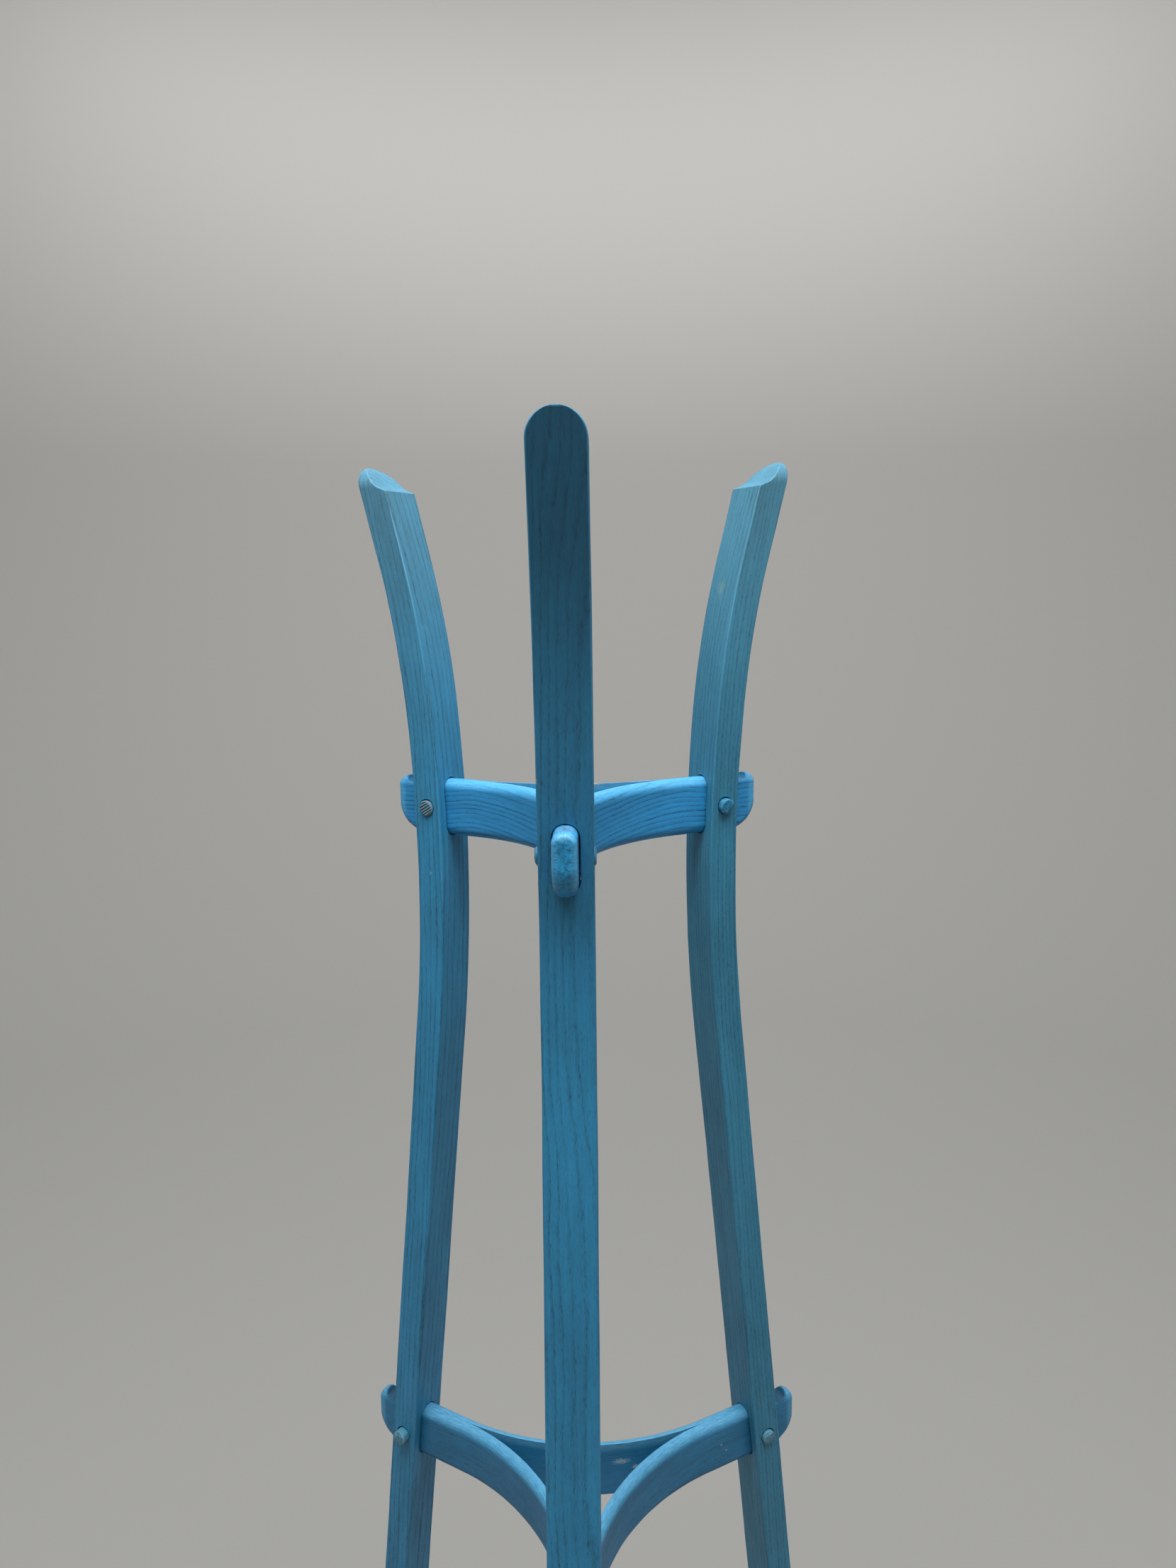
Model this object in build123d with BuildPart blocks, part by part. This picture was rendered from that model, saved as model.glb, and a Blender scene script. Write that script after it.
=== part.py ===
from build123d import *
import math
import os

# A free-standing wooden coat stand. Three bent posts lean together at a waist and spread again
# above it. Two tiers of bent rail strips tie them together. The strips meet in pairs, glued face to
# face, pass through the posts as tenons and end outside them as short coat hooks. A wooden peg
# driven across each post holds its tenon.
# Millimetres, +Z up, origin on the stand's vertical axis at floor level, front post towards -Y.

# Posts: boards of constant section, sawn to a curved outline in the stand's radial planes
stand_height = 1800.0
post_width = 42.0
post_thickness = 29.0
post_arris = 1.8
waist_height = 1428.0
waist_radius = 147.0
waist_bend_radius = 1431.0
neck_bend_radius = 797.0
waist_bend_angle = 6.0
neck_bend_angle = 9.85
leg_splay_angle = 6.6
head_length = 110.0
leg_overrun = 20.0

# Post tips: a round-headed end, dished down to a straight edge at the inner face
tip_drop = 23.5
tip_dish = 1.4
tip_clear = 10.0

# Rail strips: half of a round-edged tenon each
strip_thickness = 10.0
rail_round = 8.8
mortise_gap = 0.6

# Pegs
peg_diameter = 15.0
peg_hole_gap = 1.0
peg_chamfer = 1.5

# Hook notches: a round groove, its centre inset from the hook's end and a little above its top edge
notch_radius = 9.0
notch_inset = 16.8
notch_rise = 3.2

# Tiers: height of the middle, depth of the strips, distance from the axis where a strip's bend begins
# and where its hook ends, and the hook's top and bottom rounds
tiers = {
    "upper": dict(height=1485.5, rail_height=53.0, bend_start=99.0, reach=191.5, crown=7.0, belly=26.0),
    "lower": dict(height=808.0, rail_height=56.0, bend_start=142.0, reach=252.5, crown=7.0, belly=29.0),
}

# Arms in order round the stand, counter-clockwise from above
arms = {"front": -90.0, "right": 30.0, "left": 150.0}
arm_after = {"front": "right", "right": "left", "left": "front"}
rail_names = {"front": "front_right", "right": "back", "left": "front_left"}

# How far each peg stands out on its clockwise and its counter-clockwise side
peg_stand_out = {
    ("upper", "front"): (3.0, 1.5),
    ("upper", "right"): (6.5, 3.0),
    ("upper", "left"): (3.0, 4.0),
    ("lower", "front"): (3.5, 4.5),
    ("lower", "right"): (5.5, 3.5),
    ("lower", "left"): (2.5, 10.5),
}


def outward(azimuth):
    """Unit vector from the stand's axis towards an arm."""
    return Vector(math.cos(math.radians(azimuth)), math.sin(math.radians(azimuth)), 0)


def side_plane(azimuth):
    """Plane through the axis and an arm: local X is the distance from the axis, local Y the height."""
    return Plane(origin=(0, 0, 0), x_dir=outward(azimuth), z_dir=outward(azimuth - 90))


def end_plane(azimuth, height):
    """Plane across an arm at a height: local X runs counter-clockwise, local Y up, normal outward."""
    return Plane(origin=(0, 0, height), x_dir=outward(azimuth + 90), z_dir=outward(azimuth))


def centreline_radius(height):
    """Distance of a post's centreline from the axis, within the waist bend or on the straight leg."""
    drop = waist_height - height
    leg_start = waist_bend_radius * math.sin(math.radians(leg_splay_angle))
    bend_drop = min(drop, leg_start)
    bend = waist_bend_radius - math.sqrt(waist_bend_radius**2 - bend_drop**2)
    return waist_radius + bend + (drop - bend_drop) * math.tan(math.radians(leg_splay_angle))


def post_edge(offset):
    """One long edge of a post's outline, a given offset outward of its centreline: (foot end, head end)."""
    start = (waist_radius + offset, waist_height)
    leg_bend = JernArc(start, (0, -1), waist_bend_radius - offset, leg_splay_angle)
    leg_direction = leg_bend % 1
    leg_length = ((leg_bend @ 1).Y + leg_overrun) / abs(leg_direction.Y)
    leg = Line(leg_bend @ 1, leg_bend @ 1 + leg_direction * leg_length)
    waist_bend = JernArc(start, (0, 1), waist_bend_radius - offset, -waist_bend_angle)
    neck_bend = JernArc(waist_bend @ 1, waist_bend % 1, neck_bend_radius - offset, -neck_bend_angle)
    head = Line(neck_bend @ 1, neck_bend @ 1 + (neck_bend % 1) * head_length)
    return leg @ 1, head @ 1


def make_post(name, azimuth):
    """One post, with its dished round tip, a foot cut flat on the floor, mortises and peg holes."""
    with BuildPart() as post:
        with BuildSketch(side_plane(azimuth)):
            with BuildLine():
                outer_foot, outer_head = post_edge(post_thickness / 2)
                inner_foot, inner_head = post_edge(-post_thickness / 2)
                Line(outer_foot, inner_foot)
                Line(outer_head, inner_head)
            make_face()
        extrude(amount=post_width / 2, both=True)
        # Dish, falling from the outer lip to a straight edge at the inner face
        lean = math.radians(waist_bend_angle + neck_bend_angle)
        lip_radius = outer_head.X - (outer_head.Y - stand_height) * math.tan(lean)
        rim_radius = lip_radius - post_thickness / math.cos(lean) - tip_drop * math.tan(lean)
        rim_height = stand_height - tip_drop
        with BuildSketch(side_plane(azimuth)):
            with BuildLine():
                middle = ((lip_radius + rim_radius) / 2, stand_height - tip_drop / 2 - tip_dish)
                ThreePointArc((lip_radius, stand_height), middle, (rim_radius, rim_height))
                Polyline(
                    (rim_radius, rim_height), (rim_radius - tip_clear, rim_height),
                    (rim_radius - tip_clear, outer_head.Y + tip_clear),
                    (lip_radius + tip_clear, outer_head.Y + tip_clear),
                    (lip_radius + tip_clear, stand_height), (lip_radius, stand_height),
                )
            make_face()
        extrude(amount=post_width, both=True, mode=Mode.SUBTRACT)
        # Round head, as seen from outside the stand
        shoulder_height = stand_height - post_width / 2
        with BuildSketch(end_plane(azimuth, shoulder_height)):
            Rectangle(post_width + tip_clear, post_width + tip_clear, align=(Align.CENTER, Align.MIN))
            Circle(post_width / 2, mode=Mode.SUBTRACT)
        extrude(amount=2 * lip_radius, mode=Mode.SUBTRACT)
        # Every arris is eased. The level edges are only seams, except the one at the dish's low side.
        level_edges = post.edges().filter_by(lambda edge: edge.bounding_box().size.Z < 0.001)
        rim = level_edges.sort_by(lambda edge: abs(edge.center().Z - rim_height))[0]
        fillet(post.edges() - level_edges + [rim], radius=post_arris)
        split(bisect_by=Plane.XY, keep=Keep.TOP)
        for tier in tiers.values():
            height = tier["height"]
            with BuildSketch(end_plane(azimuth, height)):
                SlotOverall(tier["rail_height"] + 2 * mortise_gap, 2 * (strip_thickness + mortise_gap),
                            rotation=90)
            extrude(amount=2 * lip_radius, mode=Mode.SUBTRACT)
            with BuildSketch(side_plane(azimuth)):
                with Locations((centreline_radius(height), height + peg_hole_gap / 2)):
                    Circle((peg_diameter + peg_hole_gap) / 2)
            extrude(amount=post_width, both=True, mode=Mode.SUBTRACT)
    post.part.label = name
    export_step(post.part, f"parts/{name}.step")


def make_rail(name, tier, from_azimuth, to_azimuth):
    """One bent strip, running from hook to hook between two neighbouring arms."""
    height = tier["height"]
    rail_height = tier["rail_height"]
    bend_start = tier["bend_start"]
    reach = tier["reach"]
    level = Vector(0, 0, height)
    out_from = outward(from_azimuth)
    out_to = outward(to_azimuth)
    hook_end = Plane(level + out_from * reach, outward(from_azimuth + 90), out_from * -1)
    with BuildPart() as rail:
        with BuildLine():
            Line(level + out_from * reach, level + out_from * bend_start)
            TangentArc(level + out_from * bend_start, level + out_to * bend_start,
                       tangent=out_from * -1)
            Line(level + out_to * bend_start, level + out_to * reach)
        with BuildSketch(hook_end) as section:
            with Locations((strip_thickness / 2, 0)):
                Rectangle(strip_thickness, rail_height)
            fillet(section.vertices().group_by(Axis.X)[-1], radius=rail_round)
        sweep()
        for azimuth in (from_azimuth, to_azimuth):
            # Waste round the hook: outside its rounded end, and in the notch behind its tip
            with BuildSketch(side_plane(azimuth)):
                with Locations((reach - tier["belly"] + 20, height)):
                    Rectangle(2 * tier["belly"] + 1, rail_height + 20)
                with BuildSketch(mode=Mode.PRIVATE) as kept:
                    with Locations((reach - tier["belly"] * 1.5, height)):
                        Rectangle(tier["belly"] * 3, rail_height)
                    end_corners = kept.vertices().group_by(Axis.X)[-1].sort_by(Axis.Y)
                    fillet(end_corners[0], radius=tier["belly"])
                    end_corners = kept.vertices().group_by(Axis.Y)[-1].sort_by(Axis.X)
                    fillet(end_corners[-1], radius=tier["crown"])
                add(kept.sketch, mode=Mode.SUBTRACT)
                with Locations((reach - notch_inset, height + rail_height / 2 + notch_rise)):
                    Circle(notch_radius)
            extrude(amount=2 * strip_thickness, both=True, mode=Mode.SUBTRACT)
            with BuildSketch(side_plane(azimuth)):
                with Locations((centreline_radius(height), height)):
                    Circle(peg_diameter / 2)
            extrude(amount=2 * strip_thickness, both=True, mode=Mode.SUBTRACT)
    rail.part.label = name
    export_step(rail.part, f"parts/{name}.step")


def make_peg(name, tier_name, arm_name):
    """One peg, driven through a post and the tenon in it."""
    clockwise, counter_clockwise = peg_stand_out[tier_name, arm_name]
    height = tiers[tier_name]["height"]
    azimuth = arms[arm_name]
    seat = side_plane(azimuth)
    start = -(post_width / 2 + counter_clockwise)
    with BuildPart() as peg:
        with BuildSketch(seat.offset(start)):
            with Locations((centreline_radius(height), height)):
                Circle(peg_diameter / 2)
        extrude(amount=post_width + clockwise + counter_clockwise)
        chamfer(peg.edges().filter_by(GeomType.CIRCLE), length=peg_chamfer)
    peg.part.label = name
    export_step(peg.part, f"parts/{name}.step")


os.makedirs("parts", exist_ok=True)

for arm_name, azimuth in arms.items():
    make_post(f"{arm_name}_post", azimuth)

for tier_name, tier in tiers.items():
    for arm_name, azimuth in arms.items():
        next_azimuth = arms[arm_after[arm_name]]
        make_rail(f"{tier_name}_{rail_names[arm_name]}_rail", tier, azimuth, next_azimuth)
        make_peg(f"{tier_name}_{arm_name}_peg", tier_name, arm_name)
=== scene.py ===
import itertools
import math

import bmesh
import bpy
import numpy as np
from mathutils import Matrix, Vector


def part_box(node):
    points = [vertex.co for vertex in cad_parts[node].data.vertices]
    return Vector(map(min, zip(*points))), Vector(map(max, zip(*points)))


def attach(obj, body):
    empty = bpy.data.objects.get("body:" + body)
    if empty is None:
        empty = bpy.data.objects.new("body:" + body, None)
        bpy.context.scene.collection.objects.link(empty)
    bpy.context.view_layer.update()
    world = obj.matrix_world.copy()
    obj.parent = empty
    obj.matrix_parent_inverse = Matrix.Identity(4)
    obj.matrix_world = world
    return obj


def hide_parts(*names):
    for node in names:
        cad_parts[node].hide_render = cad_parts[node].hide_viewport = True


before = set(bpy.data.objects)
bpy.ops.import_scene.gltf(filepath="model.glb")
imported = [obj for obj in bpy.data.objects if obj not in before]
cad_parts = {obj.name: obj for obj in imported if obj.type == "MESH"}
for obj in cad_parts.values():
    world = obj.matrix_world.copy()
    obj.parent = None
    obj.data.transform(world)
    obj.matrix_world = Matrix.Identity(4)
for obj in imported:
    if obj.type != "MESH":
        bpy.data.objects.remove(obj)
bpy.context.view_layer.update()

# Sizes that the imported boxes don't give, in metres
POST_WIDTH = 0.042
POST_THICKNESS = 0.029
ARRIS = 0.0015
WAIST_HEIGHT = 1.428
WAIST_RADIUS = 0.147
WAIST_BEND = 1.431
NECK_BEND = 0.797
WAIST_ANGLE = math.radians(6.0)
HEAD_ANGLE = math.radians(15.85)
LEG_ANGLE = math.radians(6.6)
TIP_DROP = 0.0235
TIP_DISH = 0.0016
TIP_OGEE = 0.085
TIP_TOP = 1.8
TIP_LIP_ROUND = 0.0016
TIP_RIM_SOFTNESS = 0.0013
STRIP_THICKNESS = 0.010
RAIL_ROUND = 0.0088
MORTISE_GAP = 0.0007
PEG_RADIUS = 0.0075
BORE_RADIUS = 0.008
BORE_RISE = 0.0005
BORE_EASING = 0.0004
NOTCH_RADIUS = 0.009
NOTCH_INSET = 0.0168
NOTCH_RISE = 0.0032
BEND_START = {"upper": 0.099, "lower": 0.142}
CROWN = 0.007
BELLY = {"upper": 0.026, "lower": 0.029}
END_ROUND = 0.0042
CROWN_ROUND = 0.0062
BELLY_ROUND = 0.0082
NOTCH_ROUND = 0.0011
GRAIN_ARCH = {"upper": 0.0070, "lower": 0.003}
# Painted shade inside the hook notches, where the hollow lies in shadow
NOTCH_PAINTED_SHADE = {"upper": 0.30, "lower": 1.0}
# Painted shade on the front post's head, which overhangs away from the light, with some deeper stain there
# too
HEAD_PAINTED_SHADE_AND_STAIN = {"front": 0.55, "right": 0.0, "left": 0.0}
SEAM_ROUND = 0.0003
EDGE_KEPT = 0.0016
HOOK_LENGTH = 0.044
HOOK_SLIMMING = 0.06

ARMS = {"front": -90.0, "right": 30.0, "left": 150.0}
RAILS = {"front_right": ("front", "right"), "back": ("right", "left"), "front_left": ("left", "front")}

TIERS = {}
for tier in ("upper", "lower"):
    low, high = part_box(f"{tier}_front_left_rail")
    TIERS[tier] = {"height": (low.z + high.z) / 2, "depth": high.z - low.z, "reach": -low.y}
stand_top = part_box("front_post")[1].z


# ---------------------------------------------------------------- helpers

LATTICE = np.random.default_rng(11).uniform(-1.0, 1.0, (48, 48, 48))


def wander(points, wavelength, seed=0):
    """Smooth seeded noise from -1 to 1 at points (an array of n by 3, metres)."""
    p = np.asarray(points, float) / wavelength + seed * 7.31
    cell = np.floor(p).astype(int)
    part = p - cell
    part = part * part * (3.0 - 2.0 * part)
    total = np.zeros(len(p))
    for corner in itertools.product((0, 1), repeat=3):
        weight = np.prod(np.where(np.array(corner) == 1, part, 1.0 - part), axis=1)
        index = (cell + np.array(corner)) % 48
        total += weight * LATTICE[index[:, 0], index[:, 1], index[:, 2]]
    return total


def outward(azimuth):
    """Unit vector from the axis along an azimuth, in degrees."""
    a = math.radians(azimuth)
    return np.array((math.cos(a), math.sin(a), 0.0))


def smooth_step(low, high, x):
    """0 below low, 1 above high, smooth between."""
    k = np.clip((x - low) / (high - low), 0.0, 1.0)
    return k * k * (3.0 - 2.0 * k)


def loft(rings, closed_ends=True):
    """Vertices and faces of a skin over rings, an array of rings by points by 3."""
    count, size = rings.shape[:2]
    i, j = np.meshgrid(np.arange(count - 1), np.arange(size), indexing="ij")
    i, j = i.ravel(), j.ravel()
    k = (j + 1) % size
    faces = np.stack((i * size + j, i * size + k, (i + 1) * size + k, (i + 1) * size + j), axis=1).tolist()
    if closed_ends:
        faces.append(list(range(size))[::-1])
        faces.append(list(range((count - 1) * size, count * size)))
    return rings.reshape(-1, 3), faces


def make_object(name, vertices, faces):
    """A new mesh object at the origin, its faces turned outwards."""
    mesh = bpy.data.meshes.new(name)
    mesh.from_pydata(np.asarray(vertices).tolist(), [], faces)
    made = bmesh.new()
    made.from_mesh(mesh)
    bmesh.ops.recalc_face_normals(made, faces=made.faces)
    made.to_mesh(mesh)
    made.free()
    obj = bpy.data.objects.new(name, mesh)
    bpy.context.scene.collection.objects.link(obj)
    return obj


def cut(obj, cutter):
    """Takes the cutter away from obj and removes it."""
    modifier = obj.modifiers.new("cut", "BOOLEAN")
    modifier.operation = "DIFFERENCE"
    modifier.solver = "EXACT"
    modifier.object = cutter
    bpy.context.view_layer.update()
    mesh = bpy.data.meshes.new_from_object(obj.evaluated_get(bpy.context.evaluated_depsgraph_get()))
    obj.modifiers.clear()
    old = obj.data
    obj.data = mesh
    mesh.name = obj.name
    bpy.data.meshes.remove(old)
    bpy.data.objects.remove(cutter)


def coordinates(obj):
    """Vertex positions of a mesh object, n by 3."""
    co = np.empty(len(obj.data.vertices) * 3)
    obj.data.vertices.foreach_get("co", co)
    return co.reshape(-1, 3)


def normals(obj):
    """Vertex normals of a mesh object, n by 3."""
    no = np.empty(len(obj.data.vertices) * 3)
    obj.data.vertex_normals.foreach_get("vector", no)
    return no.reshape(-1, 3)


def store(obj, name, values):
    """Keeps a number or a vector for each vertex."""
    values = np.asarray(values, float)
    kind = "FLOAT" if values.ndim == 1 else "FLOAT_VECTOR"
    layer = obj.data.attributes.new(name, kind, "POINT")
    layer.data.foreach_set("value" if kind == "FLOAT" else "vector", values.ravel())


def finish_piece(obj, node, material, grain, along, wear_and_painted_light):
    """Gives a piece its grain, its wear with painted highlight and shade, and its material, and puts it in
    its CAD node's place.
    """
    store(obj, "grain", grain)
    store(obj, "wear_and_painted_light", wear_and_painted_light)
    across = np.abs(np.sum(normals(obj) * along, axis=1))
    store(obj, "end_grain", smooth_step(0.45, 0.95, across))
    for polygon in obj.data.polygons:
        polygon.use_smooth = True
    obj.data.set_sharp_from_angle(angle=math.radians(38))
    obj.data.materials.append(material)
    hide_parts(node)
    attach(obj, "root")


# ---------------------------------------------------------------- shapes of the posts

def edge_radius(z, offset):
    """Distance from the axis, at heights z, of a line offset outward from a post's centreline."""
    z = np.asarray(z, float)
    waist = WAIST_BEND - offset
    neck = NECK_BEND - offset
    centre_r, centre_z = WAIST_RADIUS + WAIST_BEND, WAIST_HEIGHT
    neck_r = centre_r - (WAIST_BEND - NECK_BEND) * math.cos(WAIST_ANGLE)
    neck_z = centre_z + (WAIST_BEND - NECK_BEND) * math.sin(WAIST_ANGLE)
    leg_start = centre_z - waist * math.sin(LEG_ANGLE)
    neck_start = centre_z + waist * math.sin(WAIST_ANGLE)
    head_start = neck_z + neck * math.sin(HEAD_ANGLE)
    leg = centre_r - waist * math.cos(LEG_ANGLE) + (leg_start - z) * math.tan(LEG_ANGLE)
    bend = centre_r - np.sqrt(np.maximum(waist**2 - (z - centre_z) ** 2, 0.0))
    curve = neck_r - np.sqrt(np.maximum(neck**2 - (z - neck_z) ** 2, 0.0))
    head = neck_r - neck * math.cos(HEAD_ANGLE) + (z - head_start) * math.tan(HEAD_ANGLE)
    return np.select([z < leg_start, z < neck_start, z < head_start], [leg, bend, curve], head)


def post_limits(z):
    """Half width, inner and outer distance from the axis of a post's level section at heights z."""
    z = np.asarray(z, float)
    inner = edge_radius(z, -POST_THICKNESS / 2)
    outer = edge_radius(z, POST_THICKNESS / 2)
    lip = float(edge_radius(TIP_TOP, POST_THICKNESS / 2))
    rim = lip - POST_THICKNESS / math.cos(HEAD_ANGLE) - TIP_DROP * math.tan(HEAD_ANGLE)
    below = np.clip(TIP_TOP - z, 0.0, TIP_DROP)
    steps = np.linspace(0.0, 1.0, 300)
    fall = TIP_DROP * (steps - TIP_OGEE * np.sin(2 * math.pi * steps)) + 4 * TIP_DISH * steps * (1 - steps)
    way = np.interp(below, fall, steps)
    rim_height = TIP_TOP - TIP_DROP
    dish = np.where(z > rim_height, lip + (rim - lip) * way, rim - (rim_height - z) * 2)
    gap = np.maximum(TIP_RIM_SOFTNESS - np.abs(inner - dish), 0.0)
    inner = np.maximum(inner, dish) + gap**2 / (4 * TIP_RIM_SOFTNESS)
    shoulder = TIP_TOP - POST_WIDTH / 2
    rise = np.clip((z - shoulder) / (stand_top - shoulder), 0.0, 0.9995)
    half = POST_WIDTH / 2 * np.sqrt(1.0 - rise**2)
    near = np.clip(TIP_LIP_ROUND - (stand_top - z), 0.0, TIP_LIP_ROUND)
    outer = outer - (TIP_LIP_ROUND - np.sqrt(TIP_LIP_ROUND**2 - near**2))
    return half, inner, outer


def section_rings(half, inner, outer, arris):
    """Rounded rectangles, one a height: points by (distance from axis, sideways), and each point's normal."""
    arc_steps, side_points, face_points = 6, 13, 19
    corners = ((1, 1), (-1, 1), (-1, -1), (1, -1))
    middle, reach = (inner + outer) / 2, (outer - inner) / 2
    arcs, arc_normals = [], []
    for k, (sign_r, sign_t) in enumerate(corners):
        radius = arris[k]
        angles = np.radians(90 * k + 90 * np.arange(arc_steps + 1) / arc_steps)
        r = (middle + sign_r * (reach - radius))[:, None] + radius[:, None] * np.cos(angles)
        t = (sign_t * (half - radius))[:, None] + radius[:, None] * np.sin(angles)
        arcs.append(np.stack((r, t), axis=-1))
        arc_normals.append(np.stack((np.cos(angles), np.sin(angles)), axis=-1))
    columns, directions = [], []
    for k in range(4):
        columns.append(arcs[k])
        directions.append(arc_normals[k])
        count = side_points if k % 2 == 0 else face_points
        way = (np.arange(count) + 1.0) / (count + 1)
        start, end = arcs[k][:, -1:], arcs[(k + 1) % 4][:, :1]
        columns.append(start + (end - start) * way[None, :, None])
        directions.append(np.repeat(arc_normals[k][-1:], count, axis=0))
    return np.concatenate(columns, axis=1), np.concatenate(directions)


def slot_cutter(name, azimuth, height, depth):
    """A mortise's void: a round-ended slot through a post, eased outside and a little wider inside."""
    half_length = depth / 2 + MORTISE_GAP
    half_width = STRIP_THICKNESS + MORTISE_GAP
    steps = 18
    angles = np.concatenate((np.linspace(0, math.pi, steps), np.linspace(math.pi, 2 * math.pi, steps)))
    shift = np.repeat((1.0, -1.0), steps) * (half_length - half_width)
    base = np.stack((half_width * np.cos(angles), half_width * np.sin(angles) + shift), axis=1)
    direction = np.stack((np.cos(angles), np.sin(angles)), axis=1)
    eased = 0.0007
    rings = []
    for offset, grow in ((0.012, 1.0), (0.0, 1.0), (-eased, 0.0)):
        flat = base + direction * eased * grow
        radius = edge_radius(height + flat[:, 1], POST_THICKNESS / 2) + offset
        rings.append((radius, flat))
    for offset, grow in ((0.0050, 0.0), (0.0040, 0.75), (0.0, 1.0), (-0.012, 1.0)):
        flat = base + direction * eased * grow
        radius = edge_radius(height + flat[:, 1], -POST_THICKNESS / 2) + offset
        rings.append((radius, flat))
    e, s = outward(azimuth), outward(azimuth + 90)
    points = [r[:, None] * e + f[:, :1] * s + np.array((0, 0, 1.0)) * (f[:, 1:] + height) for r, f in rings]
    return make_object(name, *loft(np.array(points)))


def bore_cutter(name, azimuth, centre_r, height, radius, half_length, eased):
    """A round bore's void across an arm, its mouths eased by a small cone."""
    angles = np.linspace(0, 2 * math.pi, 40, endpoint=False)
    e, s = outward(azimuth), outward(azimuth + 90)
    rings = []
    for t, grow in ((-half_length - 0.012, eased), (-half_length, eased), (-half_length + eased, 0.0),
                    (half_length - eased, 0.0), (half_length, eased), (half_length + 0.012, eased)):
        ring = centre_r * e + s * t + (radius + grow) * np.cos(angles)[:, None] * e
        ring = ring + np.array((0, 0, 1.0)) * (height + (radius + grow) * np.sin(angles))[:, None]
        rings.append(ring)
    return make_object(name, *loft(np.array(rings)))


def make_post(arm, azimuth, material, pith, seed):
    """One post with its dished round tip, worn arrises, mortises and peg holes."""
    fine = stand_top - POST_WIDTH / 2 * (1 - np.cos(np.linspace(0, math.pi / 2, 40)))
    heights = np.concatenate((
        np.arange(0.0, 1.756, 0.0038), np.linspace(1.757, fine[-1] - 0.0012, 14), fine[::-1]))
    half, inner, outer = post_limits(heights)
    arris = []
    for k in range(4):
        line = np.stack((heights * 0 + k, heights * 0 + seed, heights), axis=1)
        worn = ARRIS + 0.0005 * wander(line, 0.09, seed + k) + 0.0003 * wander(line, 0.017, seed + k + 5)
        arris.append(np.minimum(worn, 0.46 * np.minimum(outer - inner, 2 * half)))
    flat, direction = section_rings(half, inner, outer, arris)
    e, s = outward(azimuth), outward(azimuth + 90)
    rings = flat[..., :1] * e + flat[..., 1:] * s
    rings[..., 2] = heights[:, None]
    facing = direction[:, :1] * e + direction[:, 1:] * s
    spots = rings.reshape(-1, 3)
    swell = 0.00022 * wander(spots, 0.07, seed) + 0.00010 * wander(spots * (1, 1, 0.3), 0.012, seed + 2)
    calm = smooth_step(0.0, 0.006, stand_top - spots[:, 2])
    rings = rings + (swell * calm).reshape(rings.shape[:2])[..., None] * facing[None]
    rings[0, :, 2] = 0.0
    obj = make_object(f"{arm}_post_wood", *loft(rings))
    for tier, sizes in TIERS.items():
        cut(obj, slot_cutter("slot", azimuth, sizes["height"], sizes["depth"]))
        radius = float(edge_radius(sizes["height"], 0.0))
        height = sizes["height"] + BORE_RISE
        cut(obj, bore_cutter("bore", azimuth, radius, height, BORE_RADIUS, POST_WIDTH / 2, BORE_EASING))
    co = coordinates(obj)
    r, t, z = co @ e, co @ s, co[:, 2]
    half, inner, outer = post_limits(z)
    follow = WAIST_RADIUS + 0.85 * (edge_radius(z, 0.0) - WAIST_RADIUS)
    grain = np.stack((r - follow - pith[0], t - pith[1], z + seed * 2.3), axis=1)
    to_face = np.clip(np.minimum(outer - r, r - inner), 0.0, None)
    to_side = np.clip(half - np.abs(t), 0.0, None)
    rubbed = 0.22 + 0.78 * smooth_step(-0.1, 0.6, wander(np.stack((r * 0, t, z), axis=1), 0.045, seed + 9))
    rubbed *= 0.30 + 0.70 * smooth_step(1.45, 1.70, z)
    wear_and_painted_light = (1.0 - smooth_step(0.0003, 0.0012, np.hypot(to_face, to_side))) * rubbed
    # Painted shade, with some deeper stain: the front post's head darkens towards the top, kept as negative
    # values
    wear_and_painted_light = np.where(wear_and_painted_light > 0.05, wear_and_painted_light, -HEAD_PAINTED_SHADE_AND_STAIN[arm] * smooth_step(1.50, 1.74, z))
    levels = np.linspace(0, TIP_TOP, 200)
    lean = np.gradient(edge_radius(levels, 0.0), TIP_TOP / 199)
    slope = np.interp(z, levels, lean)
    along = slope[:, None] * e + np.array((0, 0, 1.0))
    along /= np.linalg.norm(along, axis=1)[:, None]
    finish_piece(obj, f"{arm}_post", material, grain, along, wear_and_painted_light)


# ---------------------------------------------------------------- shapes of the rail strips

def hook_outline(tier):
    """A hook's side outline, top to bottom: distance from axis, height above the middle, edge rounding."""
    sizes = TIERS[tier]
    reach, top, belly = sizes["reach"], sizes["depth"] / 2, BELLY[tier]
    start = reach - 0.045
    turn = np.linspace(0, math.pi / 2, 40)
    notch_end = math.sqrt(NOTCH_RADIUS**2 - NOTCH_RISE**2)
    dip = np.linspace(-notch_end, notch_end, 60)
    notch_z = top + NOTCH_RISE - np.sqrt(NOTCH_RADIUS**2 - dip**2)
    centre = reach - NOTCH_INSET
    parts = [
        np.stack((np.linspace(start, centre - notch_end, 30), np.full(30, top)), axis=1),
        np.stack((centre + dip, notch_z), axis=1),
        np.stack((reach - CROWN + CROWN * np.sin(turn), top - CROWN + CROWN * np.cos(turn)), axis=1),
        np.stack((np.full(30, reach), np.linspace(top - CROWN, belly - top, 30)), axis=1),
        np.stack((reach - belly + belly * np.cos(turn), belly - top - belly * np.sin(turn)), axis=1),
        np.stack((np.linspace(reach - belly, start, 30), np.full(30, -top)), axis=1),
    ]
    roundings = [
        SEAM_ROUND, NOTCH_ROUND, END_ROUND + (CROWN_ROUND - END_ROUND) * np.cos(turn), END_ROUND,
        END_ROUND + (BELLY_ROUND - END_ROUND) * np.sin(turn), SEAM_ROUND]
    return np.concatenate([np.insert(part, 2, rounding, axis=1) for part, rounding in zip(parts, roundings)])


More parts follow.
